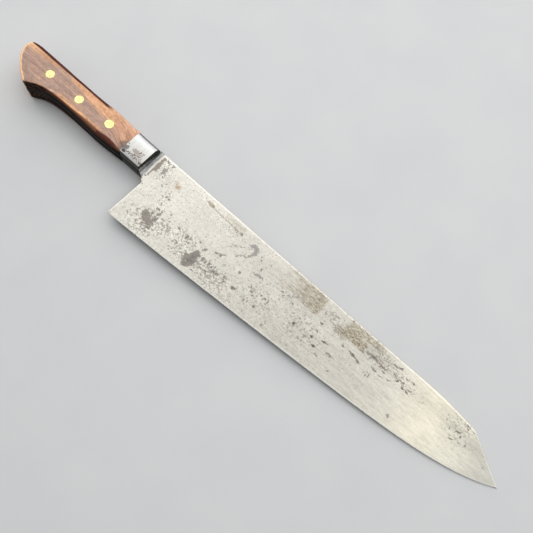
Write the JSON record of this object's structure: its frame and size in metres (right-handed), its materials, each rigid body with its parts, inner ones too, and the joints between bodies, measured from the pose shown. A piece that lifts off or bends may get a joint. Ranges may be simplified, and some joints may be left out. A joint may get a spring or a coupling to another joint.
{
  "type": "chef knife",
  "caption": "Long chef knife with a clipped point, full tang, steel bolster and a riveted dark wood handle, lying on its side.",
  "frame": {"origin": "under the middle of the whole knife, on the plane that the left cheek of the handle rests on", "axes": "+X from the butt of the handle to the tip of the blade, +Y from the cutting edge to the spine, +Z out of the right cheek"},
  "size_m": [0.4304, 0.0564, 0.0205],
  "materials": {
    "blade_steel": "worn carbon steel, finely ground lengthwise, with grey and tan patina and dark pitting",
    "bolster_steel": "polished steel with small rust pits and a dark stain at the wood",
    "rosewood": "worn oiled rosewood with dark lengthwise streaks and paler worn edges",
    "brass": "flush-ground brass, lightly polished by the hand"
  },
  "bodies": {
    "root": {"blade": "blade_steel", "bolster_right": "bolster_steel", "bolster_left": "bolster_steel", "scale_right": "rosewood", "scale_left": "rosewood", "rivet_rear_male": "brass", "rivet_rear_female": "brass", "rivet_middle_male": "brass", "rivet_middle_female": "brass", "rivet_front_male": "brass", "rivet_front_female": "brass"}
  },
  "joints": []
}
